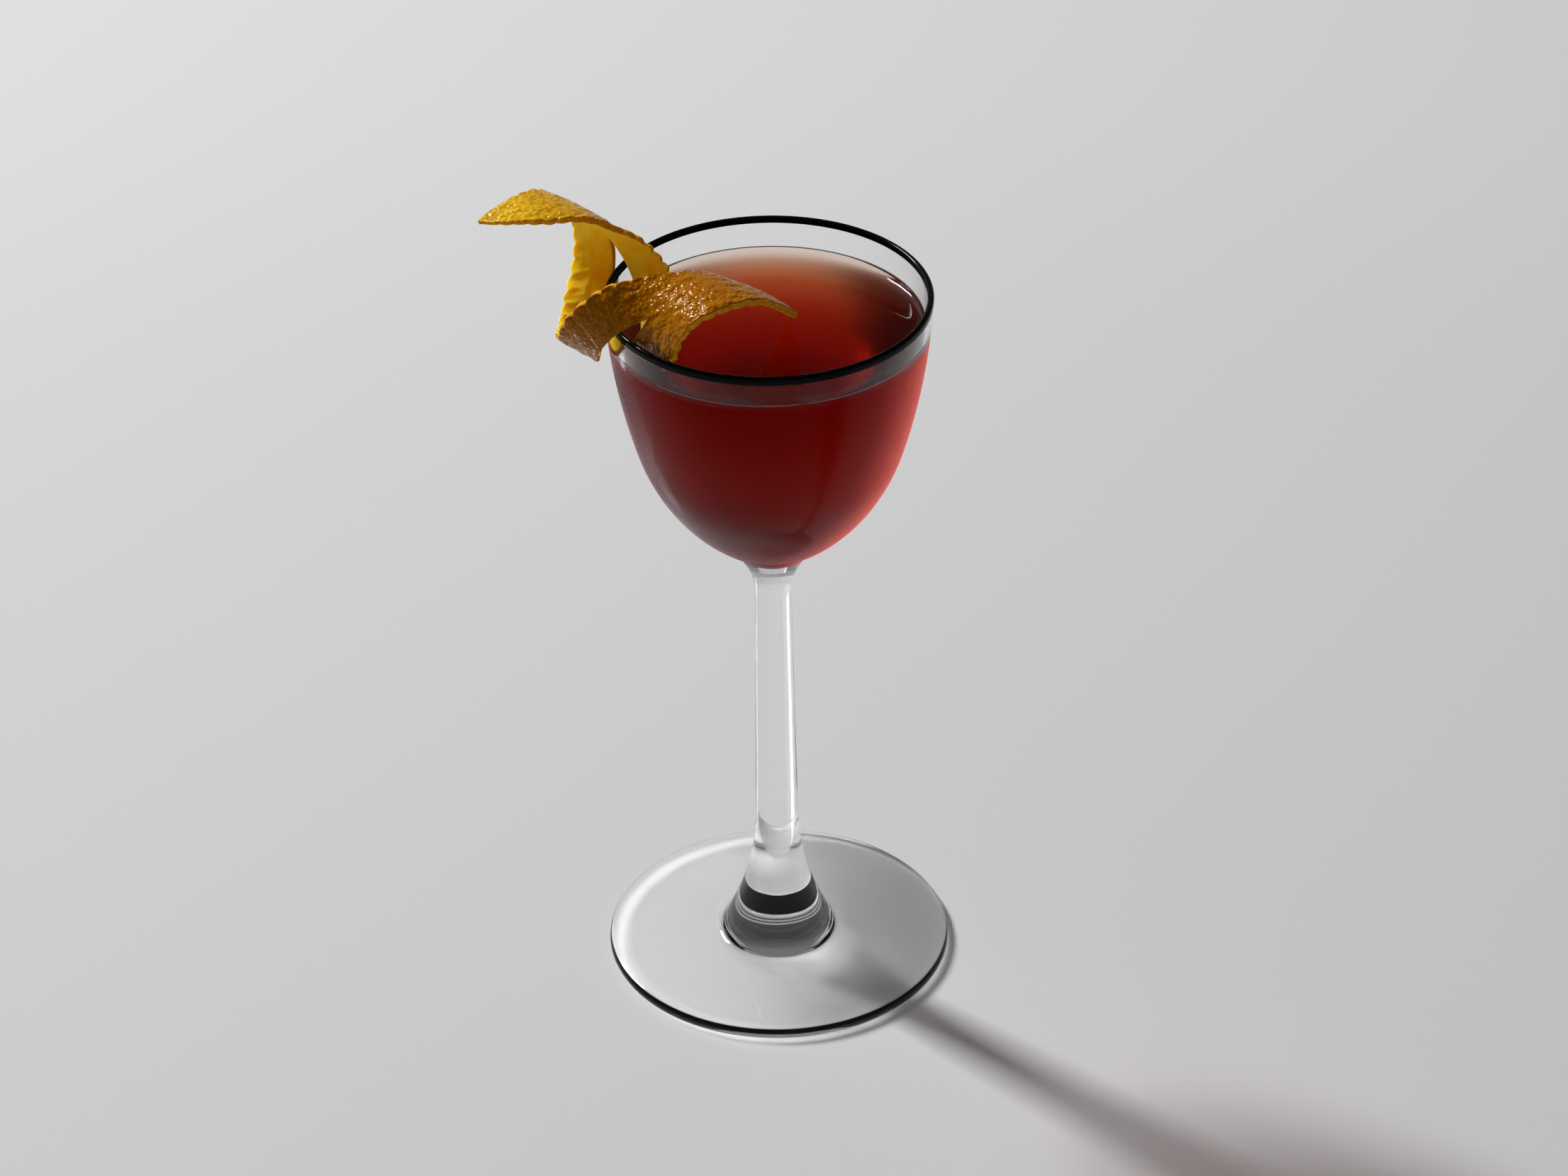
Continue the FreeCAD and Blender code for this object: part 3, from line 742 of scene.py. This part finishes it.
def make_band():
    """A black band round the rim: a thin skin that hugs the lip and sinks a little into the glass."""
    loop = band_side(BAND_PROUD) + band_side(-BAND_SUNK)[::-1]
    piece = turn_profile("rim_band", loop + loop[:1])
    piece.data.materials.append(band_material())
    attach(piece, "root")


def drink_floor(wall):
    """The drink's rounded bottom, from the middle out to where it meets the wall without a kink."""
    start, after = wall[:2]
    middle = np.array([0.0, DRINK_LOW])
    turn = start + (start - after) * ((start[1] - DRINK_LOW) / (after[1] - start[1]))
    points = []
    for t in np.linspace(0.0, 1.0, DRINK_FLOOR_POINTS)[:-1]:
        points.append(middle * (1 - t) ** 2 + turn * (2 * t * (1 - t)) + start * t**2)
    return points


def drink_surface(edge_radius):
    """The drink's top, from the raised edge at the wall in to the middle."""
    points = []
    for share in np.linspace(0.0, 1.0, MENISCUS_POINTS):
        inward = MENISCUS_REACH * share**MENISCUS_CROWD
        height = LEVEL + MENISCUS_HEIGHT * math.exp(-inward / MENISCUS_FALL)
        points.append(np.array([edge_radius - inward, height]))
    for radius in np.linspace(points[-1][0], 0.0, SURFACE_POINTS)[1:]:
        points.append(np.array([radius, LEVEL]))
    return points


def make_drink():
    """The drink, a little into the wall all round, with its surface drawn up at the wall."""
    top = LEVEL + MENISCUS_HEIGHT
    wall = [p for p in curves.outer_wall() if DRINK_LOW < p[1] < top and p[0] > DRINK_CORNER]
    wall = [p - np.array([WALL_LEFT, 0.0]) for p in wall[::-1]]
    top_angle = math.asin((top - curves.upper_centre[1]) / (curves.upper_radius - curves.wall))
    edge_radius = (curves.upper_centre + toward(top_angle) * (curves.upper_radius - WALL_LEFT))[0]
    edge = np.array([edge_radius, top])
    surface = drink_surface(edge_radius - curves.wall + WALL_LEFT)
    piece = turn_profile("drink_fill", drink_floor(wall) + wall + [edge] + surface)
    piece.data.materials.append(drink_material())
    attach(piece, "root")
    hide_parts("drink")


# ---------------------------------------------------------------- the peel's form
# The strip of peel, as its CAD model has it: lengths along and across it, where the hook
# over the rim lies, and its turns over equal stretches from the back tip to the front tip.
PEEL = {
    "length": 111.6,
    "tongue": 8.8,
    "skin": 0.5,
    "pith": 0.9,
    "crown": 0.7,
    "tip_thin": 0.55,
    "back_tip": 20.0,
    "front_tip": 40.0,
    "station": 1.24,
    "tooth_depth": 0.7,
    "slit_start": 24.8,
    "slit_end": 67.0,
    "hook": 51.3,
}
HOOK_PLACE = (4.2 - GLASS["rim_radius"], -6.5, HEIGHT - 3.6)
HOOK_TURN = Euler([math.radians(a) for a in (165.0, -10.0, -84.0)], "XYZ").to_quaternion()
# Curl toward the pith, sideways bend and twist, in degrees over a stretch.
PEEL_STRETCHES = (
    (19.0, 7.0, -1.0),
    (53.0, 8.0, -21.0),
    (56.0, -5.0, -55.0),
    (48.0, 2.0, -27.0),
    (53.0, 3.0, -56.0),
    (51.0, 17.0, -53.0),
    (51.0, 24.0, -14.0),
    (10.0, 32.0, 5.0),
    (3.0, 9.0, 1.0),
)
# How far the outer edge, the slit's two edges and the inner edge swing sideways and out
# off the skin, at the slit's middle.
PEEL_SPREADS = ((4.0, 3.5), (4.0, 7.5), (-2.3, 2.0), (-1.3, -2.0))

FINE = 5                  # mesh rows to a station
COLUMNS = 30              # faces across each tongue, before the rounded edges
ROUNDING = 0.28           # how far from a cut edge its rounding begins
SKIN_DROP = 0.2           # how much lower the skin is at a cut edge
PITH_DROP = 0.12
PORE_PITCH = 1.15
PORE_RADIUS = 0.3
PORE_DEPTH = 0.085
PORE_SHIFT = 0.32         # how far a pore may lie off its place, in pitches
PORE_SIZES = (0.6, 1.25)  # how deep a pore may be, as a share
SWELL = 0.1               # height of the skin's broad unevenness
SWELLS = 14               # waves that add up to it
TOOTH_RAGGED = 0.16       # how far the teeth stray
FAR_OFF = 1e9             # stands for the distance to a slit that isn't there
# Where the two rows between the skin and the pith lie at a cut edge.
WALL_SHARES = (0.35, 0.7)
SKIN, PITH, CUT = range(3)


class PeelStrip:
    """The strip as a fine surface. Places along it are counted in the CAD model's stations."""

    def __init__(self, v):
        self.v = v
        self.count = round(v["length"] / v["station"])
        self.slit = [round(v[name] / v["station"]) for name in ("slit_start", "slit_end")]
        self.frames = self.walk()
        rng = np.random.default_rng(SEED)
        self.ragged = rng.uniform(-1.0, 1.0, (2, self.count + 2))
        across = int(2 * v["tongue"] / PORE_PITCH) + 6
        along = int(v["length"] / PORE_PITCH) + 6
        self.pores = rng.uniform(-PORE_SHIFT, PORE_SHIFT, (along, across, 2))
        self.pore_sizes = rng.uniform(*PORE_SIZES, (along, across))
        self.swells = rng.uniform(0.0, 2.0 * math.pi, (SWELLS, 3))

    def turned(self, station):
        """The whole twist, curl and bend, in degrees, from the back tip to a station."""
        stretch = self.count / len(PEEL_STRETCHES)
        shares = [min(max(station / stretch - k, 0.0), 1.0) for k in range(len(PEEL_STRETCHES))]
        curl, bend, twist = np.array(PEEL_STRETCHES).T @ shares
        return np.array([twist, curl, bend])

    def walk(self):
        """The place and attitude at every station, both ways from the hook."""
        hook = round(self.v["hook"] / self.v["station"])
        frames = {hook: (Vector(HOOK_PLACE), HOOK_TURN)}
        ahead_axis = Vector((1, 0, 0))
        for stations, way in ((range(hook, self.count), 1), (range(hook, 0, -1), -1)):
            for i in stations:
                here, turn = frames[i]
                step = Vector(self.turned(i + way) - self.turned(i))
                ahead = turn @ Quaternion(step.normalized(), math.radians(step.length))
                middle = turn @ ahead_axis + ahead @ ahead_axis
                frames[i + way] = (here + middle * (way * self.v["station"] / 2), ahead)
        return frames

    def frame_at(self, x):
        """The place and attitude at any x, on a smooth curve through the stations."""
        i = min(int(x), self.count - 1)
        t = x - i
        (here, turn), (after, next_turn) = self.frames[i], self.frames[i + 1]
        axis = Vector((self.v["station"], 0, 0))
        place = (
            here * (2 * t**3 - 3 * t**2 + 1)
            + turn @ axis * (t**3 - 2 * t**2 + t)
            + after * (3 * t**2 - 2 * t**3)
            + next_turn @ axis * (t**3 - t**2)
        )
        turn = turn.slerp(next_turn, t).to_matrix()
        return np.array(place), np.array(turn.col[0]), np.array(turn.col[1]), np.array(turn.col[2])

    def half_width(self, x, side):
        """The half width at x, with rounded teeth that each differ a little, on either side."""
        v = self.v
        back = min(x * v["station"] / v["back_tip"], 1.0)
        front = min((self.count - x) * v["station"] / v["front_tip"], 1.0)
        share = (math.sin(math.pi / 2 * back) * math.sin(math.pi / 2 * front)) ** 0.8
        root = 1.0 - abs(math.cos(math.pi * x / 2)) ** 0.8
        i = int(x)
        rough = self.ragged[side][i] * (1 - x + i) + self.ragged[side][i + 1] * (x - i)
        tooth = v["tooth_depth"] * root * (1.0 + 0.35 * rough)
        width = (v["tongue"] + TOOTH_RAGGED * rough - tooth) * share
        return max(width, v["skin"]), share

    def rise(self, x):
        """From 0 at the slit's ends to 1 at its middle."""
        first, last = self.slit
        return max(math.sin(math.pi * min(max((x - first) / (last - first), 0.0), 1.0)), 0.0) ** 1.2

    def dimples(self, s, w):
        """How deep the skin's pores are at points s along and w across, in millimetres."""
        depth = np.zeros_like(s)
        row = np.floor(s / PORE_PITCH).astype(int)
        shift = self.pores.shape[1] // 2
        for a in (-1, 0, 1):
            i = np.clip(row + a, 0, self.pores.shape[0] - 1)
            stagger = 0.5 * (i % 2)
            column = np.floor(w / PORE_PITCH - stagger).astype(int)
            for b in (-1, 0, 1):
                j = np.clip(column + b + shift, 0, self.pores.shape[1] - 1)
                jitter = self.pores[i, j]
                ds = s / PORE_PITCH - (i + 0.5 + jitter[..., 0])
                dw = w / PORE_PITCH - (j - shift + 0.5 + stagger + jitter[..., 1])
                far = (ds**2 + dw**2) * (PORE_PITCH / PORE_RADIUS) ** 2
                depth = np.maximum(depth, self.pore_sizes[i, j] * np.exp(-far))
        return depth * PORE_DEPTH

    def swelling(self, s, w):
        """The skin's broad, low bumps."""
        total = np.zeros_like(s)
        for k, (phase, heading, length) in enumerate(self.swells):
            wave = 2.0 * math.pi / (1.6 + 0.35 * length)
            total += np.sin(wave * (s * math.cos(heading) + w * math.sin(heading)) + phase)
        return total * (SWELL / len(self.swells) ** 0.5 / 1.2)

    def rows(self):
        """At every fine row, the points of the skin and those of the pith, outer tongue first."""
        v = self.v
        ends = np.array([0.0, 0.009, 0.02])
        u = np.concatenate([ends, np.linspace(0.04, 0.96, COLUMNS - 3), 1.0 - ends[::-1]])
        columns = 2 * len(u)
        count = self.count * FINE + 1
        middle = np.zeros((count, columns, 3))
        out_way = np.zeros((count, 3))
        s = np.zeros((count, columns))
        w = np.zeros((count, columns))
        thick = np.zeros((count, 1))
        near = np.zeros((count, columns))
        for n in range(count):
            x = n / FINE
            here, ahead, side, out = self.frame_at(x)
            rise = self.rise(x)
            wall = GLASS["wall"] * rise
            outer_width, share = self.half_width(x, 0)
            inner_width, share = self.half_width(x, 1)
            crown = v["crown"] * share**2
            places = (outer_width, 0.0, -wall, -inner_width - wall)
            corners = []
            for (swing, lift), place, bulge in zip(PEEL_SPREADS, places, (0.0, crown, crown, 0.0)):
                lift = lift * rise + bulge * (1.0 - rise)
                corners.append(here + side * (place + swing * rise) + out * lift)
            half = len(u)
            outer_tongue = (slice(0, half), corners[:2], u, 1.0 - u, outer_width, 1.0)
            inner_tongue = (slice(half, columns), corners[2:], 1.0 - u, u, inner_width, -1.0)
            for part, (a, b), from_cut, from_slit, width, way in (outer_tongue, inner_tongue):
                middle[n, part] = a + (b - a) * u[:, None] + out * (crown * u * (1.0 - u))[:, None]
                w[n, part] = way * from_slit * width
                # The slit's edges are round only where it has opened.
                slit_side = np.where(rise > 0.0, from_slit * width, FAR_OFF)
                slit_side = slit_side + 1.5 * max(0.0, ROUNDING - 4 * rise)
                near[n, part] = np.minimum(from_cut * width, slit_side)
            s[n] = x * v["station"]
            out_way[n] = out
            nearest = min(x, self.count - x) * v["station"] / v["back_tip"]
            thick[n] = v["tip_thin"] + (1.0 - v["tip_thin"]) * min(nearest, 1.0)
        edge = 1.0 - np.clip(near / ROUNDING, 0.0, 1.0)
        rounding = 1.0 - np.sqrt(np.clip(1.0 - edge**2, 0.0, 1.0))
        relief = self.swelling(s, w) - self.dimples(s, w)
        skin = v["skin"] * thick + relief * thick - SKIN_DROP * rounding
        pith = v["pith"] * thick + 0.5 * self.swelling(s + 40.0, w) * thick - PITH_DROP * rounding
        lift = out_way[:, None, :]
        return middle + lift * skin[..., None], middle - lift * pith[..., None]


def make_peel():
    """The twist of peel: skin, pith and cut edges, with its slit and teeth."""
    strip = PeelStrip(PEEL)
    skin, pith = strip.rows()
    count, columns = skin.shape[:2]
    half = columns // 2
    first, last = [place * FINE for place in strip.slit]
    vertices = []
    along = []

    def add_row(points, n):
        """The row's vertices. Where there is no slit, the two tongues share one at its place."""
        numbers = []
        for k, place in enumerate(points):
            if k == half and not first < n < last:
                numbers.append(numbers[-1])
                continue
            numbers.append(len(vertices))
            vertices.append(place * MM)
            along.append(n / (count - 1))
        return numbers

    def add_wall(n, k):
        """Two more vertices between the skin and the pith, at a cut edge."""
        numbers = []
        for share in WALL_SHARES:
            numbers.append(len(vertices))
            vertices.append((skin[n, k] * (1 - share) + pith[n, k] * share) * MM)
            along.append(n / (count - 1))
        return numbers

    faces = []
    kinds = []

    def add_face(kind, corners):
        """A face, unless its corners fall together."""
        corners = tuple(dict.fromkeys(corners))
        if len(corners) > 2:
            faces.append(corners)
            kinds.append(kind)

    skins = [add_row(skin[n], n) for n in range(count)]
    piths = [add_row(pith[n], n) for n in range(count)]
    for kind, rows in ((SKIN, skins), (PITH, piths)):
        for row, after in zip(rows, rows[1:]):
            for k in range(columns - 1):
                if k != half - 1:
                    add_face(kind, (row[k], row[k + 1], after[k + 1], after[k]))
    edges = {
        0: (0, count - 1),
        columns - 1: (0, count - 1),
        half - 1: (first, last),
        half: (first, last),
    }
    edge_lines = {}
    for k, (begin, end) in edges.items():
        closed = (begin, end) if k in (half - 1, half) else ()
        lines = []
        for n in range(begin, end + 1):
            walls = [] if n in closed else add_wall(n, k)
            lines.append([skins[n][k]] + walls + [piths[n][k]])
        for row, after in zip(lines, lines[1:]):
            if len(row) == len(after):
                for corners in zip(row, row[1:], after[1:], after):
                    add_face(CUT, corners)
            else:
                add_face(CUT, row + after[::-1])
        edge_lines[k] = lines
    for n in (0, -1):
        one = edge_lines[0][n][1:-1]
        other = edge_lines[columns - 1][n][1:-1]
        add_face(CUT, skins[n] + other + piths[n][::-1] + one[::-1])
    piece = make_mesh("orange_peel_twist", vertices, faces)
    piece.data.polygons.foreach_set("material_index", kinds)
    layer = piece.data.attributes.new("along", "FLOAT", "POINT")
    layer.data.foreach_set("value", along)
    for material in (skin_material(), pith_material(), cut_material()):
        piece.data.materials.append(material)
    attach(piece, "root")
    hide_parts("orange_peel")


make_camera()
make_world()
make_floor()
for lamp in LAMPS:
    make_lamp(*lamp)
make_glass()
make_band()
make_drink()
make_peel()

scene = bpy.context.scene
scene.view_settings.view_transform = "Standard"
